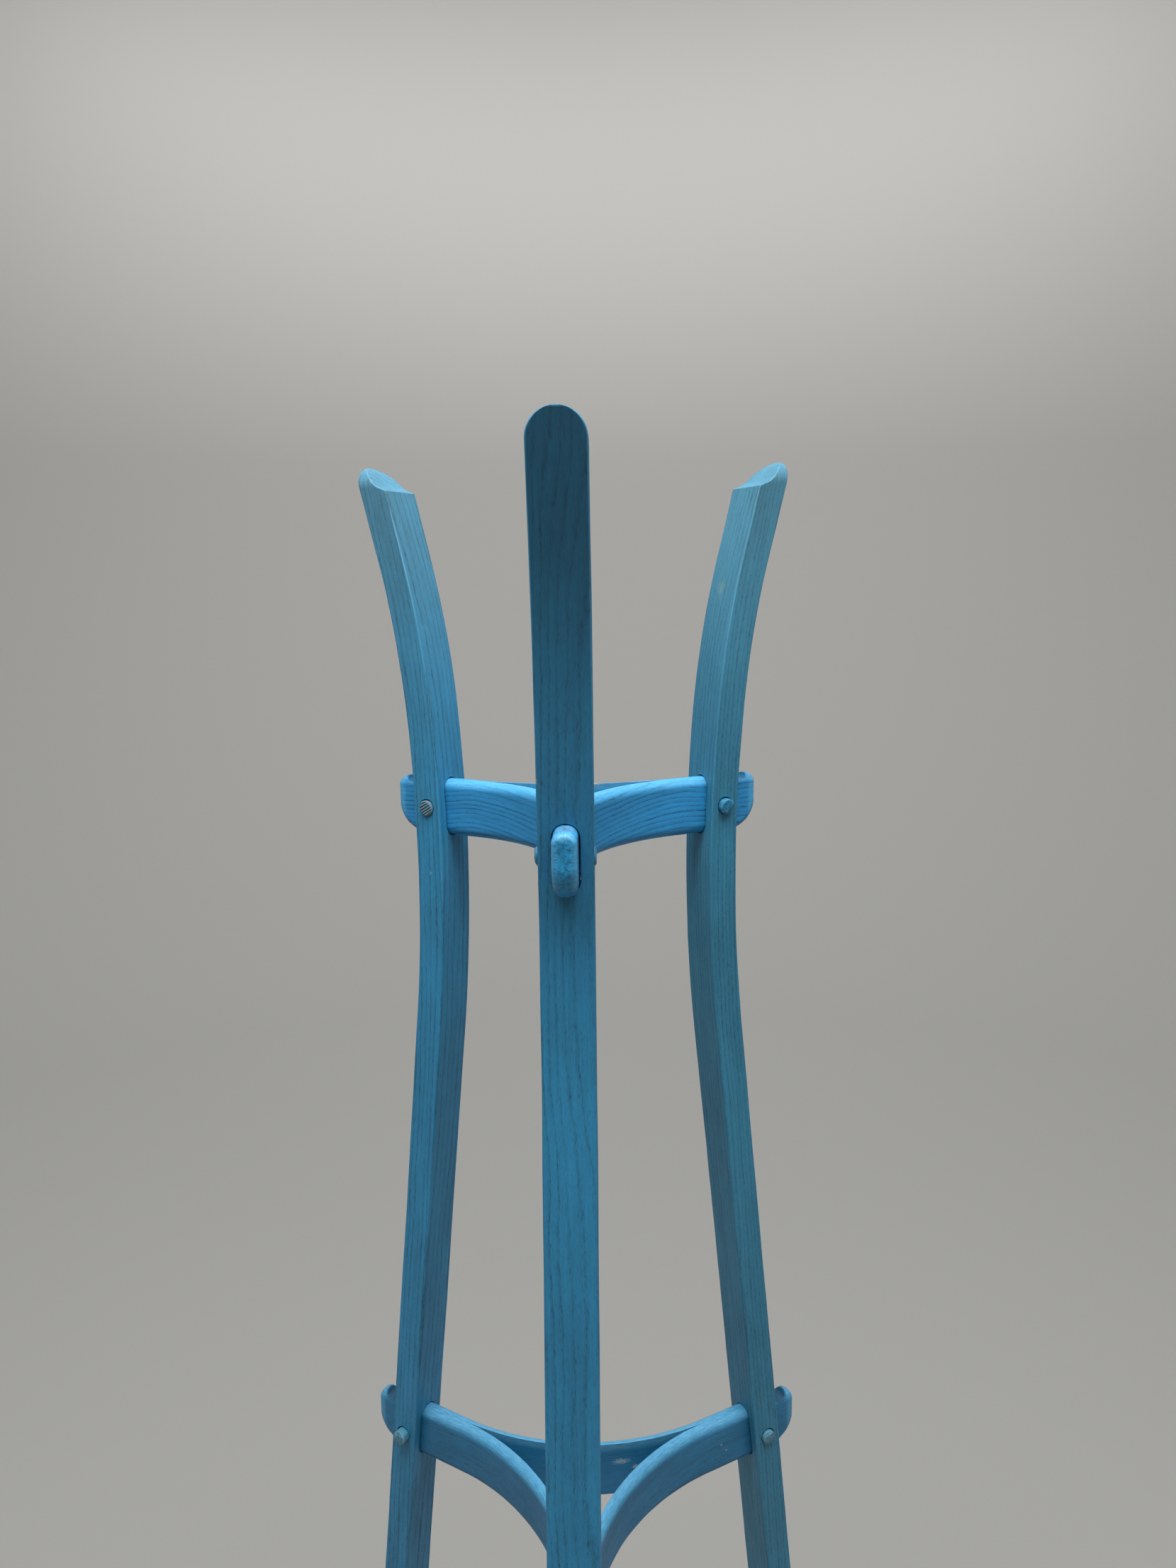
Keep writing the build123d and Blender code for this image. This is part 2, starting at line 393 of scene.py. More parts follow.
def hook_limits(tier, q):
    """Lowest and highest point of a hook's outline at a distance q from the axis."""
    sizes = TIERS[tier]
    reach, top, belly = sizes["reach"], sizes["depth"] / 2, BELLY[tier]
    crown_part = np.clip(q - (reach - CROWN), 0.0, CROWN)
    high = top - CROWN + np.sqrt(np.maximum(CROWN**2 - crown_part**2, 0.0))
    from_notch = q - (reach - NOTCH_INSET)
    groove = top + NOTCH_RISE - np.sqrt(np.maximum(NOTCH_RADIUS**2 - from_notch**2, 0.0))
    high = np.where(np.abs(from_notch) < NOTCH_RADIUS, np.minimum(high, groove), high)
    belly_part = np.clip(q - (reach - belly), 0.0, belly)
    low = belly - top - np.sqrt(np.maximum(belly**2 - belly_part**2, 0.0))
    return low, high


def strip_width(tier, z):
    """Thickness of one strip's rounded section at a height above the tier's middle."""
    top = TIERS[tier]["depth"] / 2
    over = np.clip(np.abs(z) - (top - RAIL_ROUND), 0.0, RAIL_ROUND)
    return STRIP_THICKNESS - RAIL_ROUND + np.sqrt(RAIL_ROUND**2 - over**2)


def strip_stations(tier, arm_from, arm_to):
    """Stations along a strip: point, side direction, direction along, length so far, distance from axis."""
    start, reach = BEND_START[tier], TIERS[tier]["reach"]
    alpha = ARMS[arm_from]
    near = reach - np.array((0.0, 0.00012, 0.0004, 0.0009, 0.0016, 0.0024, 0.0033, 0.0042))
    notch = np.arange(reach - 0.0050, reach - 0.027, -0.00062)
    plain = np.linspace(notch[-1] - 0.001, start, max(8, int((notch[-1] - start) / 0.0024)))
    distances = np.concatenate((near, notch, plain))
    radius = start * math.tan(math.radians(60))
    turn = np.linspace(0, 60, int(radius * math.radians(60) / 0.0022))[1:-1]
    centre = start * outward(alpha) + radius * outward(alpha + 90)
    out = []
    for q in distances:
        out.append((q * outward(alpha), outward(alpha + 90), -outward(alpha), reach - q, q))
    length = reach - start
    for w in turn:
        spoke = outward(alpha - 90 - w)
        so_far = length + radius * math.radians(w)
        out.append((centre + radius * spoke, -spoke, outward(alpha + 180 - w), so_far, None))
    length += radius * math.radians(60)
    beta = ARMS[arm_to]
    for q in distances[::-1]:
        out.append((q * outward(beta), outward(beta - 90), outward(beta), length + q - start, q))
    return out


def make_rail(tier, rail, material, slope, seed):
    """One bent strip with a hook at each end, its edges softly rounded and its glue seam a fine groove."""
    sizes = TIERS[tier]
    top = sizes["depth"] / 2
    outline = hook_outline(tier)
    stations = strip_stations(tier, *RAILS[rail])
    rows = 46
    table_z = np.linspace(-top, top, 1201)
    table_t = strip_width(tier, table_z)
    run = np.concatenate(((0.0,), np.cumsum(np.hypot(np.diff(table_z), np.diff(table_t)))))
    k = np.linspace(0, 1, rows)
    spread = 0.6 * k + 0.4 * (0.5 - 0.5 * np.cos(math.pi * k))
    band_way = np.array((0.72, 0.42, 0.2, 0.08, 0.03))
    band = len(band_way)

    def ring_at(station, squeeze):
        point, side, _, _, q = station
        in_hook = q is not None and q >= sizes["reach"] - HOOK_LENGTH
        low, high = (float(v) for v in hook_limits(tier, q)) if in_hook else (-top, top)
        span = np.interp((low, high), table_z, run)
        z = np.interp(span[0] + (span[1] - span[0]) * spread, run, table_z)
        z[0], z[-1] = low, high
        t = strip_width(tier, z)
        if in_hook:
            away = np.hypot(q - outline[None, :, 0], z[:, None] - outline[None, :, 1])
            nearest = np.argmin(away, axis=1)
            gap = away[np.arange(rows), nearest]
            widest = strip_width(tier, outline[nearest, 1]) - EDGE_KEPT
            rounding = np.clip(widest, SEAM_ROUND, outline[nearest, 2])
            t = t * (1 - HOOK_SLIMMING * smooth_step(sizes["reach"] - 0.036, sizes["reach"] - 0.027, q))
        else:
            gap = top - np.abs(z)
            rounding = np.full(rows, SEAM_ROUND)
        inside = np.clip(rounding - gap, 0.0, None)
        t = t - (rounding - np.sqrt(rounding**2 - inside**2))
        t = t * squeeze
        top_band = np.stack((t[-1] * band_way, np.full(band, high)), axis=1)
        bottom_band = np.stack((t[0] * band_way[::-1], np.full(band, low)), axis=1)
        glue = np.stack((np.zeros(rows), z[::-1]), axis=1)
        flat = np.concatenate((np.stack((t, z), axis=1), top_band, glue, bottom_band))
        groove = 0.00016 * np.exp(-((flat[:, 0] / 0.0004) ** 2))
        at_top = np.zeros(len(flat))
        at_top[rows - 1:rows + band + 1] = 1.0
        at_low = np.zeros(len(flat))
        at_low[rows + band + rows - 1:] = 1.0
        at_low[0] = 1.0
        flat[:, 1] += -groove * at_top + groove * at_low
        ring = point[None] + flat[:, :1] * side + np.array((0, 0, 1.0)) * (flat[:, 1:] + sizes["height"])
        return ring, flat

    squeezes = (0.0, 0.04, 0.12, 0.3, 0.6)
    first, last = stations[0], stations[-1]
    plan = [(first, squeeze) for squeeze in squeezes]
    plan += [(station, 1.0) for station in stations]
    plan += [(last, squeeze) for squeeze in squeezes[::-1]]
    rings, local, along, lengths = [], [], [], []
    for number, (station, squeeze) in enumerate(plan):
        ring, flat = ring_at(station, squeeze)
        if squeeze < 1.0:
            inward = -outward(ARMS[RAILS[rail][0 if number < len(squeezes) else 1]])
            ring = ring + inward * (0.00010 * np.exp(-((flat[:, :1] / 0.0004) ** 2)))
        rings.append(ring)
        local.append(flat)
        along.append(np.repeat(station[2][None], len(flat), axis=0))
        lengths.append(np.full(len(flat), station[3]))
    rings = np.array(rings)
    local = np.concatenate(local)
    along = np.concatenate(along)
    lengths = np.concatenate(lengths)
    spots = rings.reshape(-1, 3)
    swell = 0.00030 * wander(spots, 0.05, seed) + 0.00012 * wander(spots, 0.014, seed + 3)
    swell *= smooth_step(0.0, 0.003, local[:, 0])
    sideways = np.repeat(np.array([station[1] for station, _ in plan]), rings.shape[1], axis=0)
    spots = spots + sideways * swell[:, None]
    vertices, faces = loft(spots.reshape(rings.shape), closed_ends=False)
    from_end = np.minimum(lengths, lengths.max() - lengths)
    from_side = lengths if RAILS[rail][0] == "left" else lengths.max() - lengths
    past_start = from_side - (sizes["reach"] - BEND_START[tier])
    arch = GRAIN_ARCH[tier] * np.exp(-((past_start / np.where(past_start < 0, 0.034, 0.075)) ** 2))
    tilt = local[:, 1] - arch + slope * (lengths - lengths.max() / 2) + 0.0012 * np.sin(lengths * 31 + seed)
    grain = np.stack((tilt + 0.115 + 0.02 * seed, local[:, 0] - 0.012, lengths + seed * 1.7), axis=1)
    # Pale crests: rubbed stain and a painted highlight along the tops of the strips
    crest_rub_and_highlight = smooth_step(top - 0.010, top - 0.003, local[:, 1]) * 0.8
    from_axis = sizes["reach"] - from_end
    at_hook = smooth_step(0.0, 0.004, from_axis - (sizes["reach"] - 0.010))
    rounded = at_hook * smooth_step(0.0035, 0.0085, local[:, 0]) * 0.75
    # Painted shade in the notch hollows, kept as negative values
    from_groove = np.hypot(from_end - NOTCH_INSET, local[:, 1] - top - NOTCH_RISE) - NOTCH_RADIUS
    in_notch = 1.0 - smooth_step(0.0, 0.0022, from_groove)
    strip_wear_and_painted_light = np.maximum(crest_rub_and_highlight, rounded) * (1 - in_notch) - NOTCH_PAINTED_SHADE[tier] * in_notch
    obj = make_object(f"{tier}_{rail}_strip", vertices, faces)
    for name, values in (("grain", grain), ("along", along), ("wear_and_painted_light", strip_wear_and_painted_light)):
        store(obj, name, values)
    made = bmesh.new()
    made.from_mesh(obj.data)
    bmesh.ops.remove_doubles(made, verts=made.verts, dist=0.000002)
    bmesh.ops.dissolve_degenerate(made, dist=0.000002, edges=made.edges)
    bmesh.ops.recalc_face_normals(made, faces=made.faces)
    made.to_mesh(obj.data)
    made.free()
    for arm in RAILS[rail]:
        radius = float(edge_radius(sizes["height"], 0.0))
        cut(obj, bore_cutter("bore", ARMS[arm], radius, sizes["height"], PEG_RADIUS, 0.016, 0.0))
    kept = {}
    for name, width in (("grain", 3), ("along", 3), ("wear_and_painted_light", 1)):
        layer = obj.data.attributes[name]
        values = np.empty(len(obj.data.vertices) * width)
        layer.data.foreach_get("vector" if width == 3 else "value", values)
        kept[name] = values.reshape(-1, 3) if width == 3 else values
        obj.data.attributes.remove(layer)
    finish_piece(
        obj, f"{tier}_{rail}_rail", material, kept["grain"], kept["along"], kept["wear_and_painted_light"])


# ---------------------------------------------------------------- shapes of the pegs

def torn_furrow(x, y, turn, seed):
    """Furrows left by the saw in a peg's end: 1 at their bottom, 0 on the ridges between."""
    warp = wander(np.stack((x, y, np.full(len(x), seed * 0.1)), axis=1), 0.005, seed)
    return 0.5 + 0.5 * np.sin((x * math.cos(turn) + y * math.sin(turn)) * 2 * math.pi / 0.0024 + 1.5 * warp)


def make_peg(tier, arm, material, seed, torn):
    """One whittled peg: a round with faint knife facets, uneven chamfers and torn or faceted ends."""
    azimuth = ARMS[arm]
    low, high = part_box(f"{tier}_{arm}_peg")
    middle = np.array((low + high) / 2)
    e, s = outward(azimuth), outward(azimuth + 90)
    radius = PEG_RADIUS
    if arm == "front":
        length = high.x - low.x
    else:
        length = (high.x - low.x - 2 * radius * abs(e[0])) / abs(s[0])
    rng = np.random.default_rng(100 + seed)
    segments = 64
    angles = np.linspace(0, 2 * math.pi, segments, endpoint=False)
    flats = np.sort(rng.uniform(0, 2 * math.pi, 9))
    facet = np.min(np.abs((angles[:, None] - flats[None] + math.pi) % (2 * math.pi) - math.pi), axis=1)
    whittled = 0.020 * (1.0 - 0.7 * smooth_step(0.5, 1.0, torn))
    around = 1.0 - whittled * np.cos(facet * 4.2) - 0.006 * rng.uniform(0, 1, segments)

    turn = 0.35 * seed

    def end_rings(sign):
        cuts = [
            (rng.uniform(0, 2 * math.pi), rng.uniform(0.25, 0.75), rng.uniform(0.0028, 0.0055))
            for _ in range(4)]
        rings = []
        for way in (1.0, 0.985, 0.95, *np.linspace(0.9, 0.05, 18)):
            x, y = radius * around * way * np.cos(angles), radius * around * way * np.sin(angles)
            drop = 0.0011 * smooth_step(0.80, 1.0, np.full(segments, way))
            for direction, steep, inset in cuts:
                slant = steep * (1.0 - 0.85 * smooth_step(0.5, 1.0, torn))
                drop = np.maximum(drop, slant * (x * np.cos(direction) + y * np.sin(direction) - inset))
            furrow = torn_furrow(x, y, turn, seed)
            fade = 1.0 - smooth_step(0.8, 1.0, np.full(segments, way)) * 0.6
            drop = drop + torn * 0.0009 * furrow**1.5 * fade
            rings.append((x, y, sign * (length / 2 - drop)))
        return rings

    first = end_rings(-1.0)
    last = end_rings(1.0)
    body_start, body_end = first[0][2], last[0][2]
    x, y = radius * around * np.cos(angles), radius * around * np.sin(angles)
    body = [(x, y, body_start + (body_end - body_start) * way) for way in np.linspace(0, 1, 34)[1:-1]]
    stack = first[::-1] + body + last
    rings = np.array([np.stack((x, y, u), axis=1) for x, y, u in stack])
    vertices = middle + rings[..., :1] * e + rings[..., 1:2] * np.array((0, 0, 1.0)) + rings[..., 2:] * s
    obj = make_object(f"{tier}_{arm}_peg_wood", *loft(vertices))
    co = coordinates(obj) - middle
    a, b, c = co @ e, co[:, 2], co @ s
    grain = np.stack((a + 0.03, b + 0.011, c + seed * 0.9), axis=1)
    along = np.repeat(s[None], len(co), axis=0)
    at_end = smooth_step(length / 2 - 0.0035, length / 2 - 0.0015, np.abs(c))
    ridges = torn * (1 - torn_furrow(a, b, turn, seed))
    wear_and_painted_light = at_end * np.maximum(0.7 * smooth_step(0.0058, 0.0072, np.hypot(a, b)), ridges)
    finish_piece(obj, f"{tier}_{arm}_peg", material, grain, along, wear_and_painted_light)


# ---------------------------------------------------------------- materials

class Nodes:
    """Short ways to add and join shader nodes."""

    def __init__(self, tree):
        self.tree = tree

    def add(self, kind, **settings):
        node = self.tree.nodes.new(kind)
        for name, value in settings.items():
            setattr(node, name, value)
        return node

    def put(self, socket, value):
        if isinstance(value, bpy.types.NodeSocket):
            self.tree.links.new(value, socket)
        else:
            socket.default_value = value

    def math(self, operation, a, b=0.0, c=0.0, clamp=False):
        node = self.add("ShaderNodeMath", operation=operation, use_clamp=clamp)
        for socket, value in zip(node.inputs, (a, b, c)):
            self.put(socket, value)
        return node.outputs[0]

    def vector(self, operation, a, b=(0.0, 0.0, 0.0)):
        node = self.add("ShaderNodeVectorMath", operation=operation)
        self.put(node.inputs[0], a)
        self.put(node.inputs[1], b)
        return node.outputs["Value"] if operation in ("LENGTH", "DISTANCE") else node.outputs[0]

    def attribute(self, name, output="Fac"):
        return self.add("ShaderNodeAttribute", attribute_name=name).outputs[output]

    def noise(self, vector, scale, detail=2.0, rough=0.5):
        """Noise at a vector stretched by scale (across, across, along), from about 0 to 1."""
        node = self.add("ShaderNodeTexNoise")
        self.put(node.inputs["Vector"], self.vector("MULTIPLY", vector, scale))
        node.inputs["Scale"].default_value = 1.0
        node.inputs["Detail"].default_value = detail
        node.inputs["Roughness"].default_value = rough
        return node.outputs["Fac"]

    def ramp(self, value, low, high):
        """0 at low, 1 at high, smooth."""
        node = self.add("ShaderNodeMapRange", interpolation_type="SMOOTHSTEP", clamp=True)
        self.put(node.inputs["Value"], value)
        node.inputs["From Min"].default_value = low
        node.inputs["From Max"].default_value = high
        return node.outputs[0]

    def mix(self, factor, a, b, blend="MIX"):
        node = self.add("ShaderNodeMix", data_type="RGBA", blend_type=blend, clamp_factor=True)
        self.put(node.inputs[0], factor)
        self.put(node.inputs[6], a)
        self.put(node.inputs[7], b)
        return node.outputs[2]


def stained_wood(
        name, light, dark, pale, end, rings, pores, roughness=0.46, mottling=1.0, painted_sheen=0.0, marks=()):
    """Open-grained ash under a thin blue stain, worked out in the wood's own grain, in millimetres.

    rings: spacing, width as a part of it, strength. pores: length, strength. marks: places where the
    stain has gone, each a centre in metres, its three radii and a colour.
    """
    material = bpy.data.materials.new(name)
    material.use_nodes = True
    tree = material.node_tree
    tree.nodes.clear()
    n = Nodes(tree)
    spacing, width, strength = rings
    pore_length, pore_strength = pores
    grain = n.vector("SCALE", n.attribute("grain", "Vector"))
    grain.node.inputs["Scale"].default_value = 1000.0
    end_face = n.attribute("end_grain")
    side_face = n.math("SUBTRACT", 1.0, end_face)
    # Growth rings round the pith, their spacing and course uneven
    from_pith = n.vector("LENGTH", n.vector("MULTIPLY", grain, (1.0, 1.0, 0.0)))
    sway = n.noise(grain, (1 / 34, 1 / 34, 1 / 190), 2.0)
    quiver = n.noise(grain, (1 / 4, 1 / 4, 1 / 17), 3.0, 0.6)
    course = n.math("MULTIPLY_ADD", n.math("SUBTRACT", sway, 0.5), spacing * 2.2, from_pith)
    course = n.math("MULTIPLY_ADD", n.math("SUBTRACT", quiver, 0.5), spacing * 0.45, course)
    phase = n.math("DIVIDE", course, spacing)
    number = n.math("FLOOR", phase)
    way = n.math("SUBTRACT", phase, number)
    lot = n.add("ShaderNodeTexWhiteNoise", noise_dimensions="1D")
    n.put(lot.inputs["W"], number)
    chance = n.math("MULTIPLY_ADD", lot.outputs["Value"], 0.6, 0.45)
    from_line = n.math("ABSOLUTE", n.math("SUBTRACT", way, 0.5))
    line = n.math("SUBTRACT", 1.0, n.ramp(from_line, 0.0, width / 2))
    tail = n.math("MULTIPLY", n.ramp(way, 0.5 + width, 0.5), n.ramp(way, 0.38, 0.5))
    line = n.math("MULTIPLY", n.math("MAXIMUM", line, n.math("MULTIPLY", tail, 0.55)), chance, clamp=True)
    broken = n.noise(grain, (1 / 1.1, 1 / 1.1, 1 / 9), 4.0, 0.7)
    line = n.math("MULTIPLY", line, n.math("MULTIPLY_ADD", n.ramp(broken, 0.32, 0.62), 0.75, 0.25))
    line = n.math("MULTIPLY", line, side_face)
    # Pores: short dark dashes along the grain, closest in the early wood
    speck = n.noise(grain, (1 / 0.55, 1 / 0.55, 1 / pore_length), 1.0)
    dashes = n.math("MULTIPLY", n.ramp(speck, 0.52, 0.70), n.math("MULTIPLY_ADD", line, 0.6, 0.4))
    fibre = n.noise(grain, (1 / 0.9, 1 / 0.9, 1 / 45), 3.0, 0.6)
    patch = n.noise(grain, (1 / 50, 1 / 50, 1 / 160), 3.0, 0.55)
    cloud = n.noise(grain, (1 / 11, 1 / 11, 1 / 26), 3.0, 0.6)
    streak = n.noise(grain, (1 / 3.2, 1 / 3.2, 1 / 130), 2.0, 0.5)
    depth = n.math("MULTIPLY_ADD", line, strength, 0.18)
    depth = n.math("MULTIPLY_ADD", dashes, pore_strength, depth)
    depth = n.math("MULTIPLY_ADD", n.math("SUBTRACT", fibre, 0.5), 0.34, depth)
    depth = n.math("MULTIPLY_ADD", n.math("SUBTRACT", streak, 0.5), 0.40, depth)
    depth = n.math("MULTIPLY_ADD", n.math("SUBTRACT", patch, 0.5), 0.75 * mottling, depth)
    depth = n.math("MULTIPLY_ADD", n.math("SUBTRACT", cloud, 0.5), 0.35 * mottling, depth, clamp=True)
    colour = n.mix(depth, (*light, 1.0), (*dark, 1.0))
    place = n.add("ShaderNodeTexCoord").outputs["Object"]
    # End grain drinks the stain in blots
    blot = n.noise(grain, (1 / 3.6, 1 / 5.0, 1 / 9), 3.0, 0.6)
    blotted = n.mix(n.math("MULTIPLY", n.ramp(blot, 0.38, 0.66), 0.75), (*end, 1.0), (*dark, 1.0))
    colour = n.mix(n.math("MULTIPLY", end_face, 0.92), colour, blotted)
    # Painted sheen: the stain turns paler and greyer towards the top of the post, like sky reflected on it
    if painted_sheen:
        height = n.add("ShaderNodeSeparateXYZ")
        n.put(height.inputs[0], place)
        painted_sheen_mask = n.math("MULTIPLY", n.ramp(height.outputs["Z"], 1.45, 1.85), painted_sheen)
        colour = n.mix(painted_sheen_mask, colour, n.mix(depth, (*PAINTED_SHEEN_LIGHT, 1.0), (*PAINTED_SHEEN_DEEP, 1.0)))
    # Rubbed arrises and crests, where the stain is thin; on the crests this paleness is also a painted
    # highlight
    rubbed = n.ramp(n.noise(grain, (1 / 1.3, 1 / 1.3, 1 / 9), 4.0, 0.65), 0.36, 0.66)
    wear_and_painted_light = n.attribute("wear_and_painted_light")
    rub_and_painted_highlight = n.math("MULTIPLY", wear_and_painted_light, n.math("MULTIPLY_ADD", rubbed, 0.34, 0.34), clamp=True)
    colour = n.mix(rub_and_painted_highlight, colour, (*pale, 1.0))
    # Painted shade: negative values darken the hook notches, and the front post's head, there with some
    # deeper stain
    painted_shade_and_stain = n.math("MULTIPLY", wear_and_painted_light, -0.88, clamp=True)
    colour = n.mix(painted_shade_and_stain, colour, (*dark, 1.0))
    # Chips and scuffs
    ragged = n.noise(grain, (1 / 0.8, 1 / 0.8, 1 / 3.0), 4.0, 0.8)
    lost = 0.0
    for centre, radii, bare in marks:
        away = n.vector("SUBTRACT", place, centre)
        away = n.vector("LENGTH", n.vector("DIVIDE", away, radii))
        gone = n.math("MULTIPLY_ADD", n.math("SUBTRACT", ragged, 0.5), 4.2, away)
        gone = n.math("MULTIPLY", n.math("SUBTRACT", 1.0, n.ramp(gone, 0.50, 0.85)), 0.66)
        colour = n.mix(gone, colour, (*bare, 1.0))
        lost = n.math("MAXIMUM", lost, gone)
    shader = n.add("ShaderNodeBsdfPrincipled")
    n.put(shader.inputs["Base Color"], colour)
    rough = n.math("MULTIPLY_ADD", depth, 0.14, roughness)
    rough = n.math("MULTIPLY_ADD", n.math("SUBTRACT", cloud, 0.5), 0.12, rough)
    rough = n.math("MULTIPLY_ADD", lost, 0.2, rough)
    rough = n.math("MULTIPLY_ADD", painted_shade_and_stain, 0.25, rough)
    n.put(shader.inputs["Roughness"], rough)
    shader.inputs["Specular IOR Level"].default_value = 0.40
    relief = n.math("MULTIPLY", line, -0.4)
    relief = n.math("MULTIPLY_ADD", dashes, -0.6, relief)
    relief = n.math("MULTIPLY_ADD", fibre, 0.5, relief)
    relief = n.math("MULTIPLY_ADD", n.math("MULTIPLY", blot, end_face), 1.6, relief)
    relief = n.math("MULTIPLY_ADD", lost, -1.6, relief)
    bump = n.add("ShaderNodeBump")
    bump.inputs["Strength"].default_value = 0.55
    bump.inputs["Distance"].default_value = 0.00024
    n.put(bump.inputs["Height"], relief)
    n.put(shader.inputs["Normal"], bump.outputs[0])
    output = n.add("ShaderNodeOutputMaterial")
    tree.links.new(shader.outputs[0], output.inputs[0])
    return material


STAIN = (0.022, 0.200, 0.370)
DEEP_STAIN = (0.008, 0.058, 0.100)
WORN_STAIN = (0.120, 0.400, 0.580)
END_STAIN = (0.020, 0.260, 0.500)
# Painted sheen colours for the paler, greyer tops of the side posts
PAINTED_SHEEN_LIGHT = (0.098, 0.255, 0.330)
PAINTED_SHEEN_DEEP = (0.050, 0.100, 0.120)
BARE_WOOD = (0.330, 0.270, 0.200)
SCUFF = (0.330, 0.460, 0.520)

post_woods = {
    "front": stained_wood(
        "front_post_wood", STAIN, DEEP_STAIN, WORN_STAIN, END_STAIN, (3.7, 0.40, 0.44), (5.0, 0.70),
        marks=[((-0.0208, -0.1660, 1.5455), (0.0015, 0.0026, 0.0032), BARE_WOOD)]),
    "right": stained_wood(
        "right_post_wood", (0.036, 0.215, 0.345), DEEP_STAIN, WORN_STAIN, END_STAIN,
        (3.8, 0.38, 0.44), (4.0, 0.62), painted_sheen=0.50,
        marks=[((0.136, 0.082, 1.685), (0.0060, 0.0060, 0.0110), (0.110, 0.260, 0.270))]),
    "left": stained_wood(
        "left_post_wood", (0.028, 0.240, 0.445), (0.012, 0.062, 0.098), WORN_STAIN, END_STAIN,
        (5.2, 0.34, 0.56), (5.0, 0.56), painted_sheen=0.65,
        marks=[((-0.137, 0.055, 1.424), (0.0014, 0.0014, 0.0026), (0.150, 0.360, 0.460))]),
}
strip_woods = {
    "upper": stained_wood(
        "upper_strip_wood", (0.026, 0.275, 0.590), (0.008, 0.066, 0.130), (0.120, 0.430, 0.640),
        (0.018, 0.270, 0.520), (4.7, 0.46, 0.72), (3.5, 0.36), 0.38, 0.7,
        marks=[((0.019, 0.027, 1.512), (0.0085, 0.0040, 0.0022), (0.420, 0.380, 0.310))]),
    "lower": stained_wood(
        "lower_strip_wood", (0.018, 0.180, 0.355), (0.006, 0.052, 0.100), (0.130, 0.400, 0.600),
        (0.018, 0.230, 0.430), (2.4, 0.5, 0.40), (4.0, 0.62), 0.38,
        marks=[
            ((0.038, 0.041, 0.816), (0.0110, 0.0040, 0.0035), SCUFF),
            ((0.053, 0.044, 0.808), (0.0060, 0.0040, 0.0030), SCUFF),
            ((0.142, 0.070, 0.811), (0.0015, 0.0015, 0.0017), SCUFF),
            ((0.147, 0.074, 0.8025), (0.0015, 0.0015, 0.0015), SCUFF)]),
}
blue_peg_wood = stained_wood(
    "blue_peg_wood", (0.016, 0.190, 0.340), (0.006, 0.060, 0.100), (0.090, 0.300, 0.420),
    (0.016, 0.200, 0.380), (3.1, 0.4, 0.5), (3.0, 0.35), 0.50)
pale_peg_wood = stained_wood(
    "pale_peg_wood", (0.055, 0.215, 0.310), (0.010, 0.062, 0.098), (0.190, 0.300, 0.350),
    (0.075, 0.220, 0.310), (3.1, 0.4, 0.5), (3.0, 0.35), 0.54)
raw_peg_wood = stained_wood(
    "raw_peg_wood", (0.060, 0.220, 0.300), (0.006, 0.052, 0.090), (0.240, 0.290, 0.310),
    (0.040, 0.165, 0.240), (3.1, 0.4, 0.5), (3.0, 0.35), 0.56)


# ---------------------------------------------------------------- the stand

PITHS = {"front": (-0.058, 0.041), "right": (-0.047, -0.052), "left": (-0.055, 0.046)}
for number, (arm, azimuth) in enumerate(ARMS.items()):
    make_post(arm, azimuth, post_woods[arm], PITHS[arm], number + 1)

GRAIN_SLOPE = {"front_right": -0.050, "back": 0.030, "front_left": 0.012}
for number, (tier, rail) in enumerate(itertools.product(TIERS, RAILS)):
    make_rail(tier, rail, strip_woods[tier], GRAIN_SLOPE[rail], number + 1)

TORN = {("upper", "left"): 1.0, ("upper", "front"): 0.4, ("upper", "right"): 0.08}
PEG_WOODS = {
    ("upper", "left"): raw_peg_wood,
    ("upper", "front"): blue_peg_wood,
    ("upper", "right"): blue_peg_wood,
}
for number, (tier, arm) in enumerate(itertools.product(TIERS, ARMS)):
    wood = PEG_WOODS.get((tier, arm), pale_peg_wood)
    make_peg(tier, arm, wood, number + 1, TORN.get((tier, arm), 0.3))


# ---------------------------------------------------------------- studio

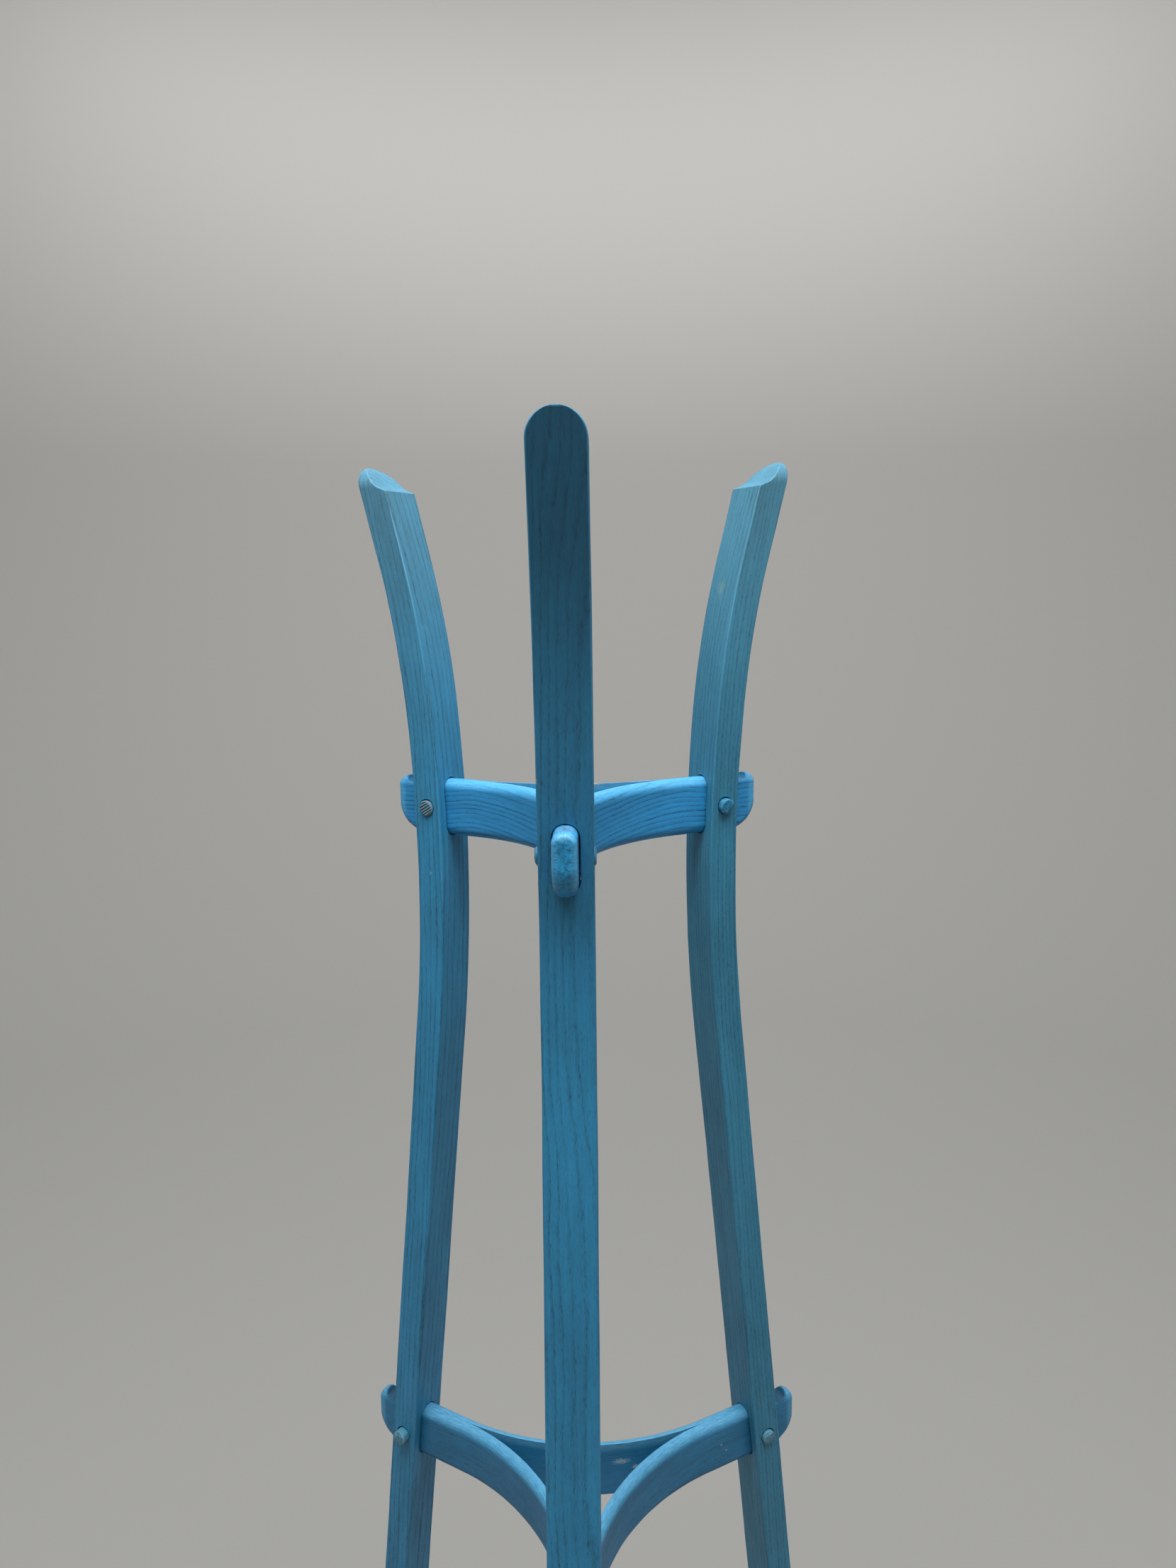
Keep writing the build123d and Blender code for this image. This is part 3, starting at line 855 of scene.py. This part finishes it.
def make_floor():
    """A plain pale floor that rises in a wide smooth curve all round, far outside the stand."""
    flat, bend, top, segments = 3.5, 2.5, 6.2, 96
    profile = [(1.0, 0.0), (flat, 0.0)]
    for a in np.linspace(0, math.pi / 2, 24)[1:]:
        profile.append((flat + bend * math.sin(a), bend - bend * math.cos(a)))
    profile.append((flat + bend, top))
    angles = np.linspace(0, 2 * math.pi, segments, endpoint=False)
    rings = np.array([[(r * math.cos(a), r * math.sin(a), z) for a in angles] for r, z in profile])
    vertices, faces = loft(rings, closed_ends=False)
    faces.append(list(range(segments))[::-1])
    obj = make_object("studio_floor", vertices, faces)
    for polygon in obj.data.polygons:
        polygon.use_smooth = True
    material = bpy.data.materials.new("floor_paint")
    material.use_nodes = True
    shader = material.node_tree.nodes["Principled BSDF"]
    shader.inputs["Base Color"].default_value = (0.300, 0.295, 0.282, 1.0)
    shader.inputs["Roughness"].default_value = 0.85
    obj.data.materials.append(material)


def soft_light(name, size, power, location, target):
    """A large soft lamp."""
    data = bpy.data.lights.new(name, "AREA")
    data.shape = "RECTANGLE"
    data.size, data.size_y = size
    data.energy = power
    lamp = bpy.data.objects.new(name, data)
    lamp.location = location
    lamp.rotation_euler = (Vector(target) - Vector(location)).to_track_quat("-Z", "Y").to_euler()
    bpy.context.scene.collection.objects.link(lamp)


make_floor()
soft_light("top_light", (2.6, 1.0), 116.0, (0.0, -0.70, 3.6), (0.0, -0.1, 1.0))
for azimuth, power in ((0, 70.0), (90, 165.0), (180, 70.0), (270, 60.0)):
    aside = outward(azimuth)
    lamp_place, lit_place = 3.6 * aside + (0, 0, 4.9), 6.0 * aside + (0, 0, 2.0)
    soft_light(f"wall_light_{azimuth}", (5.0, 0.8), power, lamp_place, lit_place)
world = bpy.data.worlds.new("studio_air")
world.use_nodes = True
world.node_tree.nodes["Background"].inputs["Color"].default_value = (0.92, 0.96, 1.0, 1.0)
world.node_tree.nodes["Background"].inputs["Strength"].default_value = 0.57
bpy.context.scene.world = world
bpy.context.scene.view_settings.view_transform = "Standard"

camera_data = bpy.data.cameras.new("camera")
camera_data.lens = 25.745
camera_data.sensor_width = 36.0
camera_data.clip_start = 0.05
camera = bpy.data.objects.new("camera", camera_data)
camera.location = (0.0357, -0.9693, 1.6725)
camera.rotation_euler = (math.radians(80.839), math.radians(0.662), math.radians(1.223))
bpy.context.scene.collection.objects.link(camera)
bpy.context.scene.camera = camera
